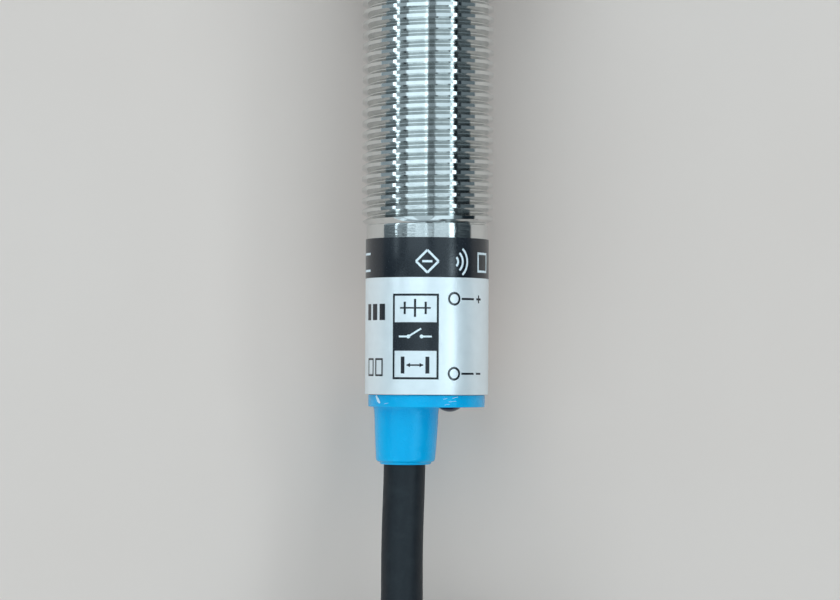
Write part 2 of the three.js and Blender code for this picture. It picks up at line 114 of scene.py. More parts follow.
def on_axis(radius, angle, station, x=0.0):
    """A point at a radius and angle (0 is up, + towards +X) round the sensor's axis."""
    return (
        x + radius * math.sin(angle),
        station - MIDDLE,
        AXIS_HEIGHT + radius * math.cos(angle),
    )


def linked_object(name, points, faces, material):
    """An object in the scene, its doubled points merged and its faces turned outwards."""
    mesh = bpy.data.meshes.new(name)
    mesh.from_pydata(metres(points), [], faces)
    tidy = bmesh.new()
    tidy.from_mesh(mesh)
    bmesh.ops.remove_doubles(tidy, verts=tidy.verts, dist=1e-7)
    bmesh.ops.recalc_face_normals(tidy, faces=tidy.faces)
    tidy.to_mesh(mesh)
    tidy.free()
    mesh.materials.append(material)
    piece = bpy.data.objects.new(name, mesh)
    bpy.context.scene.collection.objects.link(piece)
    return piece


def shade(piece, smooth):
    """Smooth shading, with hard edges where faces meet at more than smooth degrees."""
    piece.data.shade_smooth()
    piece.data.set_sharp_from_angle(angle=math.radians(smooth))


def make_object(name, points, faces, material, smooth=40, body="sensor"):
    """A finished piece that moves with one of the frame's bodies."""
    piece = linked_object(name, points, faces, material)
    shade(piece, smooth)
    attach(piece, body)
    return piece


def ring_surface(rings, closed=False):
    """Faces between neighbouring rings of the same number of points; closed joins last to first."""
    count = len(rings[0])
    points = [p for row in rings for p in row]
    faces = []
    last = len(rings) if closed else len(rings) - 1
    for i in range(last):
        a = i * count
        b = ((i + 1) % len(rings)) * count
        for j in range(count):
            k = (j + 1) % count
            faces.append((a + j, a + k, b + k, b + j))
    return points, faces


def capped_surface(rings):
    """The surface through a row of rings, with a flat face on each end."""
    points, faces = ring_surface(rings)
    count = len(rings[0])
    last = len(points) - count
    faces.append(tuple(range(count)))
    faces.append(tuple(range(last + count - 1, last - 1, -1)))
    return points, faces


def joined(surfaces):
    """Several (points, faces) surfaces as one."""
    points = []
    faces = []
    for more_points, polygons in surfaces:
        base = len(points)
        points.extend(more_points)
        faces.extend(tuple(i + base for i in polygon) for polygon in polygons)
    return points, faces


def ring(radius, station, x=0.0, around=AROUND):
    return [on_axis(radius, angle, station, x) for angle in turn_angles(around)]


def lathe(profile, x=0.0, around=AROUND):
    """A closed shape turned from (radius, station) pairs about an axis at x."""
    rings = [ring(radius, station, x, around) for radius, station in profile]
    return ring_surface(rings, closed=True)


def rounded(profile, size, steps=3):
    """A closed (radius, station) profile with its corners off the axis rounded."""
    result = []
    count = len(profile)
    for i, corner in enumerate(profile):
        before = Vector(profile[i - 1])
        here = Vector(corner)
        after = Vector(profile[(i + 1) % count])
        to_before = before - here
        to_after = after - here
        if corner[0] < 1e-6 or to_before.length < 1e-6 or to_after.length < 1e-6:
            result.append(corner)
            continue
        cut = min(size, 0.45 * to_before.length, 0.45 * to_after.length)
        start = here + to_before.normalized() * cut
        end = here + to_after.normalized() * cut
        for step in range(steps + 1):
            t = step / steps
            point = start * (1 - t) ** 2 + here * 2 * t * (1 - t) + end * t ** 2
            result.append((point.x, point.y))
    return result


# ------------------------------------------------------------------ camera


def camera():
    data = bpy.data.cameras.new("camera")
    data.lens = 118.4
    data.sensor_width = 36
    data.clip_start = 0.01
    data.clip_end = 20
    view = bpy.data.objects.new("camera", data)
    view.location = (-0.0006, -0.0248, 0.2585)
    view.rotation_euler = (math.radians(1.49), 0, math.radians(0.3))
    bpy.context.scene.collection.objects.link(view)
    bpy.context.scene.camera = view


# ------------------------------------------------------------------ cable

LEAD_IN = [
    (CABLE_X, -MIDDLE, AXIS_HEIGHT),
    (-1.97, -34.5, AXIS_HEIGHT),
    (-2.01, -36, 8.53),
    (-2.06, -37.5, 8.65),
    (-2.1, -39, 8.85),
    (-2.13, -41, 9.23),
    (-2.13, -43, 9.71),
    (-2.12, -45, 10.28),
    (-2.16, -47, 10.88),
    (-2.3, -49, 11.48),
    (-2.62, -51, 12.06),
    (-3.25, -53.5, 12.85),
    (-4.3, -56, 13.25),
    (-6.1, -60, 13.3),
    (-8.1, -64, 13.3),
    (-9.85, -68, 13.3),
    (-10.9, -72, 13.3),
    (-11.35, -76, 13.3),
]

RUN_SHARE = 0.26  # share of a turn's phase on each straight run; the rest is on the two bends
FIRST_PHASE = 0.078
LAST_PHASE = 5 + 0.5 + RUN_SHARE * (TAIL_END_Y - HANK_NEAR_CENTRE + HANK_RUN) / HANK_RUN


def eased(value):
    value = min(1.0, max(0.0, value))
    return value * value * (3 - 2 * value)


def loop_point(phase, radius):
    """The plan of one turn: down the left run, round the far bend, up the right run, and round."""
    phase = phase % 1.0
    far = HANK_NEAR_CENTRE - HANK_RUN
    bend_share = 0.5 - RUN_SHARE
    if phase < RUN_SHARE:
        return -radius, HANK_NEAR_CENTRE - HANK_RUN * phase / RUN_SHARE
    if phase < 0.5:
        angle = math.pi * (phase - RUN_SHARE) / bend_share
        return -radius * math.cos(angle), far - radius * math.sin(angle)
    if phase < 0.5 + RUN_SHARE:
        return radius, far + HANK_RUN * (phase - 0.5) / RUN_SHARE
    angle = math.pi * (phase - 0.5 - RUN_SHARE) / bend_share
    return radius * math.cos(angle), HANK_NEAR_CENTRE + radius * math.sin(angle)


def hank_point(turn):
    """Three turns step down the inner column, one crosses under, and two step up outside."""
    quick = 0.11  # the shares of a turn that a step takes
    slow = 0.14
    down = sum(eased((turn - start) / quick) for start in (0.655, 1.655, 2.655))
    across = eased((turn - 3.42) / slow)
    up = sum(eased((turn - start) / slow) for start in (4.26, 5.26))
    x, y = loop_point(turn, HANK_BEND_R + STRAND * across)
    z = CABLE_R + STRAND * (3 - down + up)
    near_tie = eased(1 - (abs(y - TIE_MIDDLE) - 2.5) / 7)
    squeeze = TIE_THICK * near_tie
    return x - math.copysign(squeeze, x), y, z + squeeze


def spaced(points, count):
    """The same line with count points at equal distances."""
    lengths = [0.0]
    for a, b in zip(points, points[1:]):
        lengths.append(lengths[-1] + (Vector(b) - Vector(a)).length)
    result = []
    k = 0
    for i in range(count):
        target = lengths[-1] * i / (count - 1)
        while k < len(lengths) - 2 and lengths[k + 1] < target:
            k += 1
        share = (target - lengths[k]) / max(lengths[k + 1] - lengths[k], 1e-9)
        result.append(tuple(Vector(points[k]).lerp(Vector(points[k + 1]), share)))
    return result, lengths[-1]


def smooth_line(points, per_span):
    """A Catmull-Rom line through the points."""
    first = Vector(points[0]) * 2 - Vector(points[1])
    last = Vector(points[-1]) * 2 - Vector(points[-2])
    p = [first] + [Vector(q) for q in points] + [last]
    line = []
    for i in range(1, len(p) - 2):
        for step in range(per_span):
            t = step / per_span
            a = 2 * p[i]
            b = p[i + 1] - p[i - 1]
            c = 2 * p[i - 1] - 5 * p[i] + 4 * p[i + 1] - p[i + 2]
            d = 3 * p[i] - p[i - 1] - 3 * p[i + 1] + p[i + 2]
            line.append(tuple(0.5 * (a + b * t + c * t ** 2 + d * t ** 3)))
    line.append(tuple(p[-2]))
    return line


def cable_route():
    """The line from the boss into the hank; two spans into the hank only steer the lead-in."""
    steps = 520
    whole = LAST_PHASE - FIRST_PHASE
    hank = [hank_point(FIRST_PHASE + whole * i / steps) for i in range(steps + 1)]
    per_span = 8
    lead_in = smooth_line(LEAD_IN + hank[:12:4], per_span)[: -2 * per_span]
    return lead_in + hank


def tube_surface(line, radius, sides):
    """A round tube along a line, with a frame that doesn't twist."""
    points = [Vector(p) for p in line]
    normal = (points[1] - points[0]).normalized().orthogonal().normalized()
    rings = []
    for i, point in enumerate(points):
        before = points[max(i - 1, 0)]
        after = points[min(i + 1, len(points) - 1)]
        tangent = (after - before).normalized()
        normal = (normal - tangent * normal.dot(tangent)).normalized()
        side = tangent.cross(normal)
        section = []
        for angle in turn_angles(sides):
            spoke = normal * math.cos(angle) + side * math.sin(angle)
            section.append(tuple(point + radius * spoke))
        rings.append(section)
    return capped_surface(rings)


def tubes(name, lines, radius, material, sides):
    surface = joined([tube_surface(line, radius, sides) for line in lines])
    return make_object(name, *surface, material, smooth=50)


def cable(jacket):
    line, length = spaced(cable_route(), 620)
    piece = tubes("cable", [line], CABLE_R, jacket, 20)
    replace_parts(piece, "cable_jacket", "cable_hank")
    return piece, line, length


BROWN_LEAD = [
    (15.2, -80.6, 9.5),
    (15.9, -78.6, 9.35),
    (15.95, -77.0, 9.2),
    (15.9, -75, 8.75),
    (15.85, -72, 8.45),
    (15.8, -69, 8.38),
    (15.75, -66, 8.36),
    (15.35, -62.8, 8.36),
    (14.3, -59.6, 8.36),
    (12.7, -56.8, 8.36),
    (10.6, -54.5, 8.36),
    (8.4, -52.9, 8.36),
]

BLUE_LEAD = [
    (15.2, -80.6, 9.5),
    (14.6, -78.6, 9.35),
    (14.45, -77.0, 9.15),
    (14.45, -75, 8.7),
    (14.4, -72, 8.42),
    (14.4, -69, 8.36),
    (14.35, -66, 8.36),
    (14.0, -63.2, 8.36),
    (13.1, -60.4, 8.36),
    (11.6, -57.9, 8.36),
    (9.7, -55.9, 8.36),
]


def lead(name, route, material, tin, node, end_node):
    """An insulated core, and its bare end of seven twisted and tinned strands."""
    line = smooth_line(route, 6)
    insulation = tubes(name, [line], LEAD_R, material, 16)
    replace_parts(insulation, node)
    direction = (Vector(line[-1]) - Vector(line[-3])).normalized()
    start = Vector(line[-1]) - direction * 0.3
    strand_r = 0.12
    step_length = 0.35
    step_twist = 0.5
    strands = []
    for k in range(7):
        offset = Vector((0, 0, 0))
        if k > 0:
            offset = 2 * strand_r * ring_offset(direction, k * math.pi / 3)
        strand = []
        for step in range(16):
            centre = start + direction * step_length * step
            strand.append(tuple(centre + rolled(offset, direction, step_twist * step)))
        strands.append(strand)
    end = tubes(name + "_end", strands, strand_r, tin, 8)
    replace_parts(end, end_node)
    return insulation, end


def ring_offset(direction, angle):
    """A unit vector square to a direction, at an angle round it."""
    first = direction.orthogonal().normalized()
    second = direction.cross(first)
    return first * math.cos(angle) + second * math.sin(angle)


def rolled(offset, direction, angle):
    """An offset square to a direction, turned about it."""
    return offset * math.cos(angle) + direction.cross(offset) * math.sin(angle)


def tie_outline(grow):
    """The line that the tie follows round the squeezed hank, as (x, z) points."""
    outer = HANK_BEND_R + STRAND - TIE_THICK
    inner = HANK_BEND_R - TIE_THICK
    # the x and level of each strand that the tie bends over, and the bend's first and last angle
    strands = [
        (-outer, 0, 180, 270),
        (outer, 0, 270, 360),
        (outer, 2, 0, 60),
        (inner, 3, 60, 90),
        (-inner, 3, 90, 150),
        (-outer, 1, 150, 180),
    ]
    points = []
    for x, level, first, last in strands:
        z = CABLE_R + TIE_THICK + STRAND * level
        for degrees in range(first, last + 1, 5):
            angle = math.radians(degrees)
            r = CABLE_R + grow
            points.append((x + r * math.cos(angle), z + r * math.sin(angle)))
    return points


def tie_band():
    """The band round the hank, flat inside and with a raised middle outside."""
    half = TIE_WIDTH / 2
    shoulder = half - 0.1
    section = [(-half, 0.06), (-shoulder, 0.22), (-0.5, 0.26), (0, 0.47)]
    section += [(0.5, 0.26), (shoulder, 0.22), (half, 0.06), (0, 0.03)]
    edges = []
    for across, grow in section:
        edges.append([(x, TIE_MIDDLE + across, z) for x, z in tie_outline(grow)])
    return ring_surface([list(points) for points in zip(*edges)], closed=True)


def tie_tail(first_turn):
    """One of the two tails, which twist round each other along the top of the hank."""
    outline = [(-0.45, 0), (-0.42, 0.1), (0, 0.2), (0.42, 0.1)]
    outline += [(0.45, 0), (0.42, -0.1), (0, -0.2), (-0.42, -0.1)]
    length = 13.0
    steps = 48
    height = CABLE_R + TIE_THICK + 3 * STRAND + CABLE_R + 1.05
    rings = []
    for i in range(steps + 1):
        along = length * i / steps
        turn = first_turn + along * 1.15
        wave = 0.25 * math.sin(along * 0.9)
        centre = Vector((
            2.0 + 0.45 * math.sin(turn) + 0.05 * along,
            TIE_MIDDLE - 1.5 + along,
            height + wave + 0.35 * math.cos(turn),
        ))
        across = Vector((math.cos(turn), 0, -math.sin(turn)))
        up = Vector((math.sin(turn), 0, math.cos(turn)))
        rings.append([tuple(centre + across * a + up * b) for a, b in outline])
    return capped_surface(rings)


def tie(material):
    """A flat plastic-coated wire tie."""
    surface = joined([tie_band(), tie_tail(0), tie_tail(math.pi)])
    piece = make_object("tie", *surface, material, smooth=35)
    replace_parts(piece, "cable_tie")
    return piece


# ------------------------------------------------------------------ materials


def blank(name, color, roughness, metallic=0.0, specular=None):
    """A new material and its shader, before any pattern."""
    material = bpy.data.materials.new(name)
    material.use_nodes = True
    shader = material.node_tree.nodes["Principled BSDF"]
    shader.inputs["Base Color"].default_value = (*color, 1)
    shader.inputs["Roughness"].default_value = roughness
    shader.inputs["Metallic"].default_value = metallic
    if specular is not None:
        shader.inputs["Specular IOR Level"].default_value = specular
    return material, shader


def place(material, stretch):
    """Object coordinates in millimetres, stretched so that a pattern can run along one way."""
    nodes = material.node_tree.nodes
    coordinates = nodes.new("ShaderNodeTexCoord")
    mapping = nodes.new("ShaderNodeMapping")
    mapping.inputs["Scale"].default_value = [1000 * s for s in stretch]
    material.node_tree.links.new(coordinates.outputs["Object"], mapping.inputs["Vector"])
    return mapping.outputs["Vector"]


def noise(material, scale, detail=3.0, stretch=(1, 1, 1), rough=0.5):
    """Noise with scale features in each millimetre."""
    node = material.node_tree.nodes.new("ShaderNodeTexNoise")
    node.inputs["Scale"].default_value = scale
    node.inputs["Detail"].default_value = detail
    node.inputs["Roughness"].default_value = rough
    material.node_tree.links.new(place(material, stretch), node.inputs["Vector"])
    return node.outputs["Fac"]


def spread(material, value, low, high, start=0.3, end=0.7):
    """A value's range start to end as low to high."""
    node = material.node_tree.nodes.new("ShaderNodeMapRange")
    node.inputs["From Min"].default_value = start
    node.inputs["From Max"].default_value = end
    node.inputs["To Min"].default_value = low
    node.inputs["To Max"].default_value = high
    material.node_tree.links.new(value, node.inputs["Value"])
    return node.outputs["Result"]


def mixed(material, factor, first, second):
    """Two colours mixed by a factor."""
    node = material.node_tree.nodes.new("ShaderNodeMix")
    node.data_type = "RGBA"
    node.inputs["A"].default_value = (*first, 1)
    node.inputs["B"].default_value = (*second, 1)
    material.node_tree.links.new(factor, node.inputs["Factor"])
    return node.outputs["Result"]


def two_toned(material, shader, value, first, second, start=0.3, end=0.7):
    """A base colour that goes from the first to the second with a value."""
    share = spread(material, value, 0, 1, start, end)
    tone = mixed(material, share, first, second)
    material.node_tree.links.new(tone, shader.inputs["Base Color"])


def worn(material, shader, value, smoothest, roughest):
    """Roughness that varies with a value."""
    roughness = spread(material, value, smoothest, roughest)
    material.node_tree.links.new(roughness, shader.inputs["Roughness"])


def bumped(material, shader, height, distance):
    """Relief of a real height, in millimetres."""
    node = material.node_tree.nodes.new("ShaderNodeBump")
    node.inputs["Strength"].default_value = 1.0
    node.inputs["Distance"].default_value = distance * 0.001
    links = material.node_tree.links
    links.new(height, node.inputs["Height"])
    links.new(node.outputs["Normal"], shader.inputs["Normal"])


def nickel(name, roughness, marks):
    """Bright plating with fine turning marks round the axis and a faint uneven haze."""
    material, shader = blank(name, (0.65, 0.66, 0.65), roughness, 1.0)
    worn(material, shader, noise(material, 0.35, 4), 0.8 * roughness, 1.4 * roughness)
    tone = noise(material, 0.9, 3)
    two_toned(material, shader, tone, (0.60, 0.615, 0.61), (0.68, 0.69, 0.68))
    bumped(material, shader, noise(material, 1.6, 3, marks), 0.0025)
    return material


def moulded(name, dark, light, roughness, grain=0.012, sheen=(1, 1, 1), specular=0.5):
    """Moulded plastic: a fine grain, faint flow marks and small scuffs."""
    material, shader = blank(name, light, roughness, specular=specular)
    two_toned(material, shader, noise(material, 0.5, 4, (1, 0.35, 1)), dark, light)
    scuffs = noise(material, 2.2, 5, (1, 0.5, 1), 0.7)
    worn(material, shader, scuffs, roughness * 0.8, roughness * 1.3)
    shader.inputs["Specular Tint"].default_value = (*sheen, 1)
    bumped(material, shader, noise(material, 5, 2), grain)
    return material


def jacket_pvc():
    """Matt black sheath with a faint drawn grain along its length and dusty patches."""
    material, shader = blank("jacket_pvc", (0.01, 0.015, 0.02), 0.5, specular=0.35)
    dust = noise(material, 0.8, 6, (1, 1, 1), 0.65)
    two_toned(material, shader, dust, (0.003, 0.006, 0.010), (0.012, 0.017, 0.021), 0.45, 0.75)
    worn(material, shader, dust, 0.42, 0.6)
    bumped(material, shader, noise(material, 3.5, 4, (1, 0.4, 1)), 0.03)
    return material


def label_foil():
    """Silvered film under a clear face: nearly white, with a satin sheen."""
    material, shader = blank("label_foil", (0.85, 0.86, 0.86), 0.3, 0.35)
    grain = noise(material, 1.2, 4)
    two_toned(material, shader, grain, (0.83, 0.85, 0.86), (0.87, 0.89, 0.90))
    worn(material, shader, grain, 0.32, 0.38)
    return material


def ink(name, color, roughness):
    """Printed ink, a little thinner in places."""
    material, shader = blank(name, color, roughness)
    cover = noise(material, 6, 3)
    pale = tuple(min(1, c * 1.25 + 0.004) for c in color)
    two_toned(material, shader, cover, color, pale)
    worn(material, shader, cover, roughness * 0.85, roughness * 1.15)
    return material


def plain(name, color, second, roughness, metallic=0.0, scale=3.0, relief=0.008,
          stretch=(1, 1, 1)):
    """A mottled material for the floor, the pieces inside and the small metal parts."""
    material, shader = blank(name, color, roughness, metallic)
    tone = noise(material, scale, 4, stretch)
    two_toned(material, shader, tone, color, second)
    worn(material, shader, tone, roughness * 0.85, roughness * 1.2)
    bumped(material, shader, tone, relief)
    return material


# ------------------------------------------------------------------ barrel, nuts and washers

# One turn of the thread from the middle of a crest. The pitch is 1 mm, so the first value of each
# pair is both a share of a turn and millimetres along the barrel.
THREAD_PROFILE = [
    (-0.15, CREST_R),
    (0.15, CREST_R),
    (0.47, ROOT_R),
    (0.53, ROOT_R),
]


def thread_radius(phase):
    """The right-handed thread's radius at a phase in turns from a crest."""
    start, start_radius = THREAD_PROFILE[0]
    phase = (phase - start) % 1.0 + start
    following = THREAD_PROFILE[1:] + [(start + 1, start_radius)]
    for (a, ra), (b, rb) in zip(THREAD_PROFILE, following):
        if phase <= b:
            return ra + (rb - ra) * max(0.0, phase - a) / (b - a)
    return CREST_R


def thread_rings(first, last, grow, limit):
    """Rows that follow the thread between two stations; limit(station, radius) trims the ends."""
    rows = []
    for turn in range(int(first) - 2, int(last) + 2):
        for offset, _ in THREAD_PROFILE:
            row = []
            for j, angle in enumerate(turn_angles(AROUND)):
                climb = j / AROUND
                station = min(last, max(first, turn + offset + climb))
                radius = thread_radius(station - climb) + grow
                row.append(on_axis(limit(station, radius), angle, station))
            rows.append(row)
    return rows


def threaded_surface(thread, others):
    """A closed surface of thread rows, whose seam climbs by one turn, and plain rings."""
    rings = thread + others
    last_row = len(thread) - 1
    faces = []
    for i in range(len(rings)):
        following = (i + 1) % len(rings)
        for j in range(AROUND):
            here, there = i, following
            at_seam = j == AROUND - 1
            if at_seam and i < last_row:
                here = min(i + len(THREAD_PROFILE), last_row)
                there = min(here + 1, last_row)
            k = (j + 1) % AROUND
            faces.append((
                i * AROUND + j,
                here * AROUND + k,
                there * AROUND + k,
                following * AROUND + j,
            ))
    return [p for row in rings for p in row], faces


def barrel(plating):
    """Neck under the label, thread with chamfered ends, and the bore, as one turned piece."""

    def chamfered(station, radius):
        from_rear = NECK_R - 0.02 + (station - THREAD_REAR) * 1.1
        from_front = 5.3 + (THREAD_FRONT - station)
        return min(radius, from_rear, from_front)

    others = [
        ring(BORE_R, THREAD_FRONT),
        ring(BORE_R, BARREL_REAR),
        ring(NECK_R - 0.1, BARREL_REAR),
        ring(NECK_R, BARREL_REAR + 0.1),
        ring(NECK_R, NECK_REAR - 0.2),
        ring(NECK_R, THREAD_REAR - 0.12),
        ring(NECK_R, THREAD_REAR - 0.03),
    ]
    thread = thread_rings(THREAD_REAR, THREAD_FRONT, 0, chamfered)
    piece = make_object("threaded_barrel", *threaded_surface(thread, others), plating, smooth=38)
    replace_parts(piece, "barrel")


def hex_radius(angle):
    """The hexagon's radius at an angle from its upper flat's middle."""
    third = math.radians(60)
    return NUT_FLATS / 2 / math.cos((angle + third / 2) % third - third / 2)


def nut(name, node, rear, plating):
    """Hexagon nut with 30 degree chamfers on both faces and its own internal thread."""
    front = rear + NUT_THICK
    face_r = 8.15
    mouth_r = 6.3
    slope = math.tan(math.radians(30))

    def hex_ring(inset, depth_share, side):
        result = []
        for angle in turn_angles(AROUND):
            radius = hex_radius(angle) - inset
            depth = (radius - face_r) * slope * depth_share
            station = rear + depth if side < 0 else front - depth
            result.append(on_axis(radius, angle, station))
        return result

    def opened(station, radius):
        return max(radius, mouth_r - (station - rear) * 1.2, mouth_r - (front - station) * 1.2)

    outside = [
        ring(mouth_r + 0.05, front),
        ring(face_r - 0.15, front),
        ring(face_r, front - 0.03),
        hex_ring(0.06, 1.0, 1),
        hex_ring(0.0, 1.2, 1),
        hex_ring(0.0, 1.2, -1),
        hex_ring(0.06, 1.0, -1),
        ring(face_r, rear + 0.03),
        ring(face_r - 0.15, rear),
        ring(mouth_r + 0.05, rear),
    ]
    inside = thread_rings(rear, front, NUT_THREAD_GAP, opened)
    surface = threaded_surface(inside, outside)
    piece = make_object(name, *surface, plating, smooth=32, body=node)
    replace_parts(piece, node)


def washer(name, node, rear, steel):
    """Internal toothed lock washer: a ring with twelve teeth, each twisted out of its plane."""
    teeth = 12
    steps = 10  # points in each tooth and the gap beside it
    tooth_steps = 6
    half = 0.3
    tooth_half = 0.55 * half
    middle = rear + WASHER_SPACE / 2

    def flat_ring(radius, offset):
        return ring(radius, middle + offset, around=teeth * steps)

    def toothed_ring(side):
        result = []
        for i, angle in enumerate(turn_angles(teeth * steps)):
            step = i % steps
            if step < tooth_steps:
                twist = 0.38 * (step / (tooth_steps - 1) - 0.5)
                result.append(on_axis(6.25, angle, middle + twist + side * tooth_half))
            else:
                result.append(on_axis(7.15, angle, middle + side * half))
        return result

    rings = [
        toothed_ring(-1),
        flat_ring(7.25, -half),
        flat_ring(8.3, -half),
        flat_ring(8.4, -0.2),
        flat_ring(8.4, 0.2),
        flat_ring(8.3, half),
        flat_ring(7.25, half),
        toothed_ring(1),
    ]
    surface = ring_surface(rings, closed=True)
    piece = make_object(name, *surface, steel, smooth=30, body=node)
    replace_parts(piece, node)


# ------------------------------------------------------------------ label

LABEL_SURFACE = LABEL_R + 0.012
STRIP_WIDTH = 0.3


def film(name, rear, front, material):
    """A sleeve of label film between two stations."""
    corners = [(LABEL_INNER_R, rear), (LABEL_R, rear), (LABEL_R, front), (LABEL_INNER_R, front)]
    piece = make_object(name, *lathe(rounded(corners, 0.03)), material)
    return piece


def label(foil, black):
    """Film wrapped round the neck, its rear part silver and its front part printed black."""
    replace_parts(film("label_silver", LABEL_REAR, BAND_REAR, foil), "label")
    film("label_band", BAND_REAR, NECK_REAR, black)


def wrapped(polygon, height=0.0):
    """A flat outline of (across, along) millimetres laid on the label, cut into narrow strips."""
    shape = bmesh.new()
    verts = [shape.verts.new((a, b, 0)) for a, b in polygon]
    shape.faces.new(verts)
    low = min(a for a, _ in polygon)
    high = max(a for a, _ in polygon)
    cut = math.ceil(low / STRIP_WIDTH) * STRIP_WIDTH
    while cut < high:
        geometry = shape.verts[:] + shape.edges[:] + shape.faces[:]
        bmesh.ops.bisect_plane(shape, geom=geometry, plane_co=(cut, 0, 0), plane_no=(1, 0, 0))
        cut += STRIP_WIDTH
    bmesh.ops.triangulate(shape, faces=shape.faces[:])
    shape.verts.index_update()
    points = []
    for v in shape.verts:
        points.append(on_axis(LABEL_SURFACE + height, v.co.x / LABEL_R, v.co.y))
    faces = [tuple(v.index for v in f.verts) for f in shape.faces]
    shape.free()
    return points, faces


def bar(x0, y0, x1, y1):
    return [(x0, y0), (x1, y0), (x1, y1), (x0, y1)]


def frame_bars(x0, y0, x1, y1, width):
    """The four sides of a rectangle."""
    return [
        bar(x0, y0, x1, y0 + width),
        bar(x0, y1 - width, x1, y1),
        bar(x0, y0 + width, x0 + width, y1 - width),
        bar(x1 - width, y0 + width, x1, y1 - width),
    ]


def round_spot(x, y, radius):
    return [(x + radius * math.cos(a), y + radius * math.sin(a)) for a in turn_angles(24)]


def arc(x, y, radius, width, first, last, steps):
    """Short quads along part of a circle, between two angles in degrees."""
    quads = []
    outer = radius + width / 2
    inner = radius - width / 2
    step = (last - first) / steps
    for k in range(steps):
        a = math.radians(first + step * k)
        b = math.radians(first + step * (k + 1))
        quad = [(outer, a), (outer, b), (inner, b), (inner, a)]
        quads.append([(x + r * math.cos(angle), y + r * math.sin(angle)) for r, angle in quad])
    return quads


def stroke(x0, y0, x1, y1, width):
    """A straight line of a given width, square to it at both ends."""
    direction = Vector((x1 - x0, y1 - y0)).normalized() * width / 2
    side = Vector((-direction.y, direction.x))
    a = Vector((x0, y0))
    b = Vector((x1, y1))
    return [tuple(a + side), tuple(a - side), tuple(b - side), tuple(b + side)]


def printed(name, outlines, material, height=0.0):
    surface = joined([wrapped(outline, height) for outline in outlines])
    piece = make_object(name, *surface, material, smooth=60)


def diamond(x, y, size, width):
    corners = [(x, y + size), (x + size, y), (x, y - size), (x - size, y)]
    return [stroke(*corners[k], *corners[(k + 1) % 4], width) for k in range(4)]


def label_print(black, white):
    """A three-cell table of generic symbols: a distance, an open contact and a scale."""
    left, right = -3.2, 1.05
    rear, front = 7.68, 15.28
    border = 0.19
    third = (front - rear) / 3
    middle = (left + right) / 2
    table = frame_bars(left, rear, right, front, border)
    table.append(bar(left + border, rear + third, right - border, rear + 2 * third))
    table += distance_symbol(middle, rear + third / 2)
    table += scale_symbol(middle, front - third / 2)
    printed("label_table", table, black)
    printed("label_contact", contact_symbol(middle, rear + 1.5 * third), white, 0.008)


def distance_symbol(x, y):
    """Two faces with a double arrow between them."""
    reach = 0.75
    marks = [
        bar(x - 1.3, y - 0.75, x - 0.95, y + 0.75),
        bar(x + 0.95, y - 0.75, x + 1.3, y + 0.75),
        stroke(x - reach, y, x + reach, y, 0.14),
    ]
    return marks + arrow_heads(x, y, reach)


def scale_symbol(x, y):
    """A line crossed by a long tick and two short ones."""
    marks = [stroke(x - 1.4, y, x + 1.4, y, 0.14)]
    for offset, half in ((-0.95, 0.55), (0.95, 0.55), (0, 0.8)):
        marks.append(stroke(x + offset, y - half, x + offset, y + half, 0.2))
    return marks


def contact_symbol(x, y):
    """An open switch contact between two terminals."""
    gap = 0.6
    width = 0.16
    return [
        stroke(x - 1.5, y, x - gap, y, width),
        stroke(x + gap, y, x + 1.5, y, width),
        stroke(x - gap, y, x + 0.55, y + 0.7, width),
        round_spot(x - gap, y, 0.17),
        round_spot(x + gap, y, 0.17),
    ]


def arrow_heads(x, y, reach):
    heads = []
    for side in (-1, 1):
        tip = x + side * reach
        back = tip - side * 0.32
        heads.append([(tip, y), (back, y + 0.2), (back, y - 0.2)][::side])
    return heads


def wire_mark(x, y, material, name, plus):
    """An open ring at a wire's end, a short line out of it, and its polarity."""
    outlines = arc(x, y, 0.52, 0.2, 0, 360, 16)
    outlines.append(bar(x + 0.75, y - 0.09, x + 2.2, y + 0.09))
    outlines.append(bar(x + 2.55, y - 0.09, x + 3.25, y + 0.09))
    if plus:
        outlines.append(bar(x + 2.81, y + 0.09, x + 2.99, y + 0.35))
        outlines.append(bar(x + 2.81, y - 0.35, x + 2.99, y - 0.09))
    printed(name, outlines, material)


def band_marks(white):
    """Pale symbols on the black band: a diamond, three arcs, a square and two bars."""
    y = 18.15
    marks = diamond(0.0, y, 1.0, 0.2)
    marks.append(bar(-0.45, y - 0.1, 0.45, y + 0.1))
    for radius in (0.5, 1.0, 1.5):
        marks += arc(2.35, y, radius, 0.2, -50, 50, 8)
    marks += frame_bars(5.2, y - 0.9, 7.0, y + 0.9, 0.2)
    marks += [bar(-8.0, y - 0.85, -6.4, y - 0.65), bar(-8.0, y + 0.65, -6.4, y + 0.85)]
    printed("band_marks", marks, white)


def edge_marks(black):
    """A row of three solid blocks and a row of two open ones at the left."""
    marks = []
    for k in range(3):
        marks.append(bar(-6.9 + 1.05 * k, 12.95, -6.2 + 1.05 * k, 14.4))
    for k in range(2):
        marks += frame_bars(-6.75 + 1.35 * k, 7.95, -5.7 + 1.35 * k, 9.55, 0.16)
    printed("edge_marks", marks, black)


# ------------------------------------------------------------------ caps and indicator


def solved(piece, other, operation):
    """One exact boolean between two pieces; the other is used up."""
    modifier = piece.modifiers.new("cut", "BOOLEAN")
    modifier.operation = operation
    modifier.solver = "EXACT"
    modifier.object = other
    graph = bpy.context.evaluated_depsgraph_get()
    mesh = bpy.data.meshes.new_from_object(piece.evaluated_get(graph))
    piece.modifiers.clear()
    piece.data = mesh
    bpy.data.objects.remove(other)


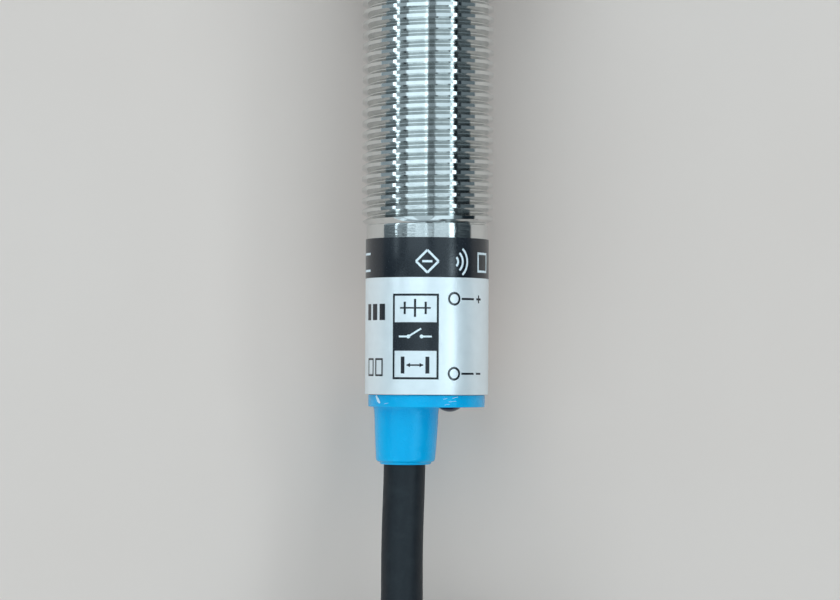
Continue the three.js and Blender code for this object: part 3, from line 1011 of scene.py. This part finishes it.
def boss():
    """Tapered cable boss: a short collar, a rounded shoulder, the taper and a flared root."""
    profile = [(BOSS_BORE_R, 0.12), (2.08, 0.02), (2.22, 0.0)]
    profile += [(2.3, 0.06), (2.34, 0.18), (2.42, 0.24)]
    for degrees in range(0, 91, 15):
        angle = math.radians(degrees)
        profile.append((2.42 + 0.26 * math.sin(angle), 0.24 + 0.28 * (1 - math.cos(angle))))
    profile += [(2.76, 1.6), (2.84, 3.0), (2.91, 4.4), (2.95, 4.9), (3.0, 5.1), (3.1, 5.22)]
    profile += [(3.1, 5.7), (BOSS_BORE_R, 5.6)]
    lean_rear = 0.25
    rings = []
    for radius, station in profile:
        share = (station - lean_rear) / (FLANGE_REAR - lean_rear)
        x = BOSS_REAR_X + (BOSS_FRONT_X - BOSS_REAR_X) * share
        rings.append(ring(radius, station, x, 64))
    return ring_surface(rings, closed=True)


def rear_cap(blue):
    """The flange and its spigot, with the boss joined on and holes for the cable and the LED."""
    flange = rounded([
        (ON_AXIS, FLANGE_REAR + 0.02),
        (4.9, FLANGE_REAR + 0.02),
        (5.06, FLANGE_REAR),
        (FLANGE_R, FLANGE_REAR),
        (FLANGE_R, FLANGE_FRONT),
        (REAR_SPIGOT_R, FLANGE_FRONT),
        (REAR_SPIGOT_R, REAR_SPIGOT_FRONT),
        (4.2, REAR_SPIGOT_FRONT),
        (4.2, 6.52),
        (ON_AXIS, 6.52),
    ], 0.06)
    bore = [(ON_AXIS, -1.0), (BOSS_BORE_R, -1.0), (BOSS_BORE_R, 9.0), (ON_AXIS, 9.0)]
    window = [(ON_AXIS, 4.0), (1.1, 4.0), (1.12, 5.22), (1.36, 5.5), (1.6, 5.62), (1.6, 7.0)]
    window.append((ON_AXIS, 7.0))
    smooth = 35
    piece = make_object("rear_cap_moulding", *lathe(flange), blue, smooth)
    solved(piece, linked_object("boss", *boss(), blue), "UNION")
    solved(piece, linked_object("bore", *lathe(bore, CABLE_X, 48), blue), "DIFFERENCE")
    solved(piece, linked_object("window", *lathe(window, LED_X, 48), blue), "DIFFERENCE")
    shade(piece, smooth)
    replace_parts(piece, "rear_cap")


def indicator(lens):
    """The LED's domed body, its apex just proud of the flange."""
    profile = [(ON_AXIS, LED_APEX)]
    for degrees in range(6, 91, 6):
        angle = math.radians(degrees)
        profile.append((LED_R * math.sin(angle), LED_APEX + LED_R * (1 - math.cos(angle))))
    profile += [(LED_R, 8.3), (1.85, 8.32), (1.85, 9.2), (ON_AXIS, 9.2)]
    piece = make_object("indicator_dome", *lathe(profile, LED_X, 48), lens, smooth=35)
    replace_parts(piece, "indicator_led")


def sensing_cap(blue):
    """The cup over the coil: a round nose with a rounded rim and a shallow groove in its face."""
    groove = SENSING_FACE - 0.06
    inside = SENSING_FACE - 0.8
    seat = THREAD_FRONT + 0.02
    spigot_end = THREAD_FRONT - 4.0
    outline = rounded([
        (ON_AXIS, SENSING_FACE),
        (3.6, SENSING_FACE),
        (3.7, groove),
        (4.2, groove),
        (4.3, SENSING_FACE),
        (SENSING_R, SENSING_FACE),
        (SENSING_R, seat),
        (SENSING_SPIGOT_R, seat),
        (SENSING_SPIGOT_R, spigot_end),
        (4.4, spigot_end),
        (4.55, inside),
        (ON_AXIS, inside),
    ], 0.25)
    piece = make_object("sensing_nose", *lathe(outline), blue, smooth=35)
    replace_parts(piece, "sensing_cap")


def flange_wear(pale):
    """A whitened nick on the flange's edge and a few fine scratches."""
    height = FLANGE_R - LABEL_R + 0.004
    nick = [(-5.8, 6.12), (-5.6, 6.27), (-5.22, 5.92), (-4.98, 5.6), (-5.12, 5.5), (-5.45, 5.66)]
    printed("flange_nick", [nick], pale, height)
    scratches = [
        stroke(1.55, 5.94, 1.95, 6.0, 0.02),
        stroke(2.1, 5.7, 2.9, 5.76, 0.02),
        stroke(2.5, 6.02, 3.1, 6.14, 0.03),
        stroke(1.7, 5.42, 2.2, 5.5, 0.02),
        stroke(-4.4, 5.5, -3.9, 5.56, 0.02),
    ]
    printed("flange_scratches", scratches, pale, height)


# ------------------------------------------------------------------ floor and light


def floor():
    mesh = bpy.data.meshes.new("floor")
    mesh.from_pydata([(-3, -3, 0), (3, -3, 0), (3, 3, 0), (-3, 3, 0)], [], [(0, 1, 2, 3)])
    material = plain("floor", (0.76, 0.605, 0.535), (0.74, 0.585, 0.515), 0.7,
                     scale=0.02, relief=0.0)
    mesh.materials.append(material)
    ground = bpy.data.objects.new("floor", mesh)
    bpy.context.scene.collection.objects.link(ground)


LIGHT_COLOR = (0.80, 1.0, 1.1)
LIGHT_HEIGHT = 0.6


def panel(name, middle, sides, strength, tip=0.0, turn=0.0):
    """A rectangular softbox of a given radiance that faces down, or turns about the x or y axis."""
    data = bpy.data.lights.new(name, "AREA")
    data.shape = "RECTANGLE"
    data.size, data.size_y = sides
    data.color = LIGHT_COLOR
    data.energy = strength * math.pi * sides[0] * sides[1]
    lamp = bpy.data.objects.new(name, data)
    lamp.location = middle
    lamp.rotation_euler = (math.radians(tip), math.radians(turn), 0)
    bpy.context.scene.collection.objects.link(lamp)


def overhead(name, across, along, strength):
    """An overhead panel that the sensor sees between two angles off the vertical each way."""
    x0, x1 = (LIGHT_HEIGHT * math.tan(math.radians(a)) for a in across)
    y0, y1 = (LIGHT_HEIGHT * math.tan(math.radians(a)) for a in along)
    panel(name, ((x0 + x1) / 2, (y0 + y1) / 2, LIGHT_HEIGHT), (x1 - x0, y1 - y0), strength)


def wall(name, x, along, heights, strength):
    """An upright panel to one side of the sensor, facing it."""
    y0, y1 = along
    z0, z1 = heights
    panel(name, (x, (y0 + y1) / 2, (z0 + z1) / 2), (z1 - z0, y1 - y0), strength,
          turn=math.copysign(90, x))


def lights():
    """Rows of panels, from the one over the sensor to the far ones that its thread mirrors."""
    zenith = (-14, 2.4)
    overhead("ceiling_edge", (-58, -48), (-14, 4.2), 0.3)
    overhead("ceiling_left", (-48, -22), zenith, 0.62)
    overhead("ceiling_middle", (-22, 2), zenith, 1.0)
    overhead("ceiling_inner", (2, 10), zenith, 0.72)
    overhead("ceiling_right", (11, 36), zenith, 0.85)
    overhead("ceiling_far_right", (36, 42), zenith, 0.6)
    overhead("lamp_right_low", (42, 52), (-14, 2.2), 6.5)
    overhead("lamp_left_low", (-53, -43), (-15, -1), 6.0)
    overhead("lamp_boss", (23, 35), (-17, -9), 4.5)
    overhead("strip", (56, 58), zenith, 0.3)
    ahead = (2.6, 48)
    overhead("lamp_left", (-63, -57), (5.4, 48), 3.2)
    overhead("ahead_edge", (-56, -38), (4.3, 48), 0.5)
    overhead("ahead_left", (-38, -5), ahead, 1.5)
    overhead("lamp_middle", (-5, -0.5), ahead, 2.4)
    overhead("ahead_gap", (-0.5, 13), ahead, 0.32)
    overhead("ahead_right", (13, 42), ahead, 1.15)
    overhead("lamp_right", (43, 50), (3.6, 48), 3.4)
    distance = (50, 76)
    overhead("distant_left", (-51, -11), distance, 1.7)
    overhead("distant_lamp_middle", (-11, -3), distance, 2.8)
    overhead("distant_gap", (-3, 19), distance, 0.35)
    overhead("distant_right", (22, 48), distance, 1.2)
    overhead("distant_lamp_right", (54, 60), (58, 75), 4.0)
    wall("distant_lamp_left", -0.59, (0.5, 0.95), (0.14, 0.25), 3.0)
    behind = (-77, -16)
    overhead("behind_left", (-62, -33), behind, 1.3)
    overhead("behind_middle", (-33, 12), behind, 0.75)
    overhead("behind_right", (14, 46), behind, 1.25)
    overhead("behind_far_right", (46, 62), behind, 0.12)
    wall("wall_left", -0.6, (-0.17, 0.0235), (0.0, 0.3), 0.13)
    wall("wall_left_ahead", -0.6, (0.0255, 1.0), (0.0, 0.36), 0.38)
    wall("wall_left_behind", -0.6, (-1.4, -0.17), (0.0, 0.3), 0.75)
    wall("wall_right_ahead", 0.6, (0.0255, 1.0), (0.0, 0.36), 0.2)
    wall("wall_right_behind", 0.6, (-1.4, -0.17), (0.0, 0.3), 0.2)
    panel("wall_near", (0, -0.9, 0.1), (1.0, 0.2), 0.5, tip=90)
    world = bpy.data.worlds.new("room")
    bpy.context.scene.world = world
    world.use_nodes = True
    backdrop = world.node_tree.nodes["Background"]
    backdrop.inputs["Color"].default_value = (0.35, 0.6, 0.8, 1)
    backdrop.inputs["Strength"].default_value = 0.035


# ------------------------------------------------------------------ assembly


def inside_looks():
    """Materials for the pieces in the housing, which keep their own shapes."""
    repaint(["ferrite_core"],
            plain("ferrite", (0.05, 0.05, 0.055), (0.09, 0.09, 0.095), 0.6, scale=4))
    repaint(["coil_bobbin"],
            plain("bobbin", (0.80, 0.76, 0.66), (0.86, 0.83, 0.75), 0.5, scale=2))
    repaint(["coil_winding"],
            plain("winding", (0.55, 0.22, 0.09), (0.72, 0.34, 0.15), 0.3, 1.0,
                  scale=1.0, relief=0.05, stretch=(1, 8, 1)))
    repaint(["coil_lead_start", "coil_lead_end"],
            plain("enamelled_wire", (0.6, 0.25, 0.1), (0.7, 0.32, 0.14), 0.3, 1.0))
    repaint(["circuit_board"],
            plain("laminate", (0.02, 0.16, 0.07), (0.03, 0.21, 0.09), 0.35, scale=1.2))
    repaint(["oscillator_ic", "output_transistor", "protection_diode", "sensitivity_resistor",
             "feedback_resistor", "bias_resistor", "led_resistor"],
            plain("moulded_epoxy", (0.02, 0.02, 0.022), (0.035, 0.035, 0.037), 0.5, scale=8))
    repaint(["zener_diode"],
            plain("tinted_glass", (0.55, 0.22, 0.06), (0.62, 0.28, 0.10), 0.15, scale=2))
    repaint(["smoothing_capacitor"],
            plain("yellow_epoxy", (0.75, 0.50, 0.08), (0.80, 0.56, 0.13), 0.4))
    repaint(["tuning_capacitor"],
            plain("ceramic", (0.52, 0.40, 0.27), (0.60, 0.47, 0.33), 0.5))
    repaint(["led_lead_anode", "led_lead_cathode"],
            plain("tinned_steel", (0.70, 0.70, 0.68), (0.78, 0.78, 0.75), 0.3, 1.0))
    repaint(["potting_plug"],
            plain("resin", (0.02, 0.02, 0.02), (0.04, 0.038, 0.035), 0.25, scale=1.5))


def repaint(nodes, material):
    """A new material for nodes that keep the frame's own meshes."""
    for node in nodes:
        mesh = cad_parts[node].data
        mesh.materials.clear()
        mesh.materials.append(material)


camera()
pvc = jacket_pvc()
brown_pvc = moulded("brown_pvc", (0.10, 0.035, 0.012), (0.14, 0.05, 0.02), 0.42)
blue_pvc = moulded("blue_pvc", (0.01, 0.08, 0.36), (0.015, 0.11, 0.45), 0.42)
tinned = plain("tinned_copper", (0.66, 0.65, 0.62), (0.76, 0.75, 0.72), 0.28, 1.0, 5)
tie_coat = moulded("tie_coat", (0.016, 0.016, 0.018), (0.03, 0.03, 0.032), 0.38)

cord, cord_line, cord_length = cable(pvc)
brown_lead, brown_end = lead("brown_wire", BROWN_LEAD, brown_pvc, tinned,
                             "brown_lead", "brown_tinned_end")
blue_lead, blue_end = lead("blue_wire", BLUE_LEAD, blue_pvc, tinned,
                           "blue_lead", "blue_tinned_end")
cable_tie = tie(tie_coat)

thread_plate = nickel("nickel_thread", 0.08, (1, 3, 1))
nut_plate = nickel("nickel_nut", 0.16, (1, 4, 1))
washer_plate = plain("zinc_plate", (0.58, 0.58, 0.56), (0.68, 0.68, 0.66), 0.3, 1.0, 4, 0.006)
blue_moulding = moulded("blue_moulding", (0.0, 0.39, 0.75), (0.0, 0.44, 0.80), 0.17,
                        grain=0.05, sheen=(0.3, 0.85, 1.0), specular=0.65)
scuffed_blue = moulded("scuffed_blue", (0.60, 0.80, 0.92), (0.85, 0.92, 0.95), 0.6)
barrel(thread_plate)
nut("front_hex_nut", "front_nut", FRONT_NUT_REAR, nut_plate)
nut("rear_hex_nut", "rear_nut", REAR_NUT_REAR, nut_plate)
washer("front_lock_washer", "front_washer", FRONT_WASHER_REAR, washer_plate)
washer("rear_lock_washer", "rear_washer", REAR_WASHER_REAR, washer_plate)
rear_cap(blue_moulding)
sensing_cap(blue_moulding)
indicator(plain("led_lens", (0.008, 0.016, 0.045), (0.012, 0.022, 0.06), 0.12,
                scale=2, relief=0.001))

black_ink = ink("black_ink", (0.006, 0.009, 0.014), 0.24)
white_ink = ink("white_ink", (0.72, 0.76, 0.78), 0.4)
label(label_foil(), black_ink)
label_print(black_ink, white_ink)
band_marks(white_ink)
edge_marks(black_ink)
flange_wear(scuffed_blue)
wire_mark(2.5, 14.85, black_ink, "wire_mark_supply", True)
wire_mark(2.5, 8.2, black_ink, "wire_mark_load", False)

repaint(["brown_core"], brown_pvc)
repaint(["blue_core"], blue_pvc)
inside_looks()
floor()
lights()
bpy.context.scene.view_settings.view_transform = "Standard"
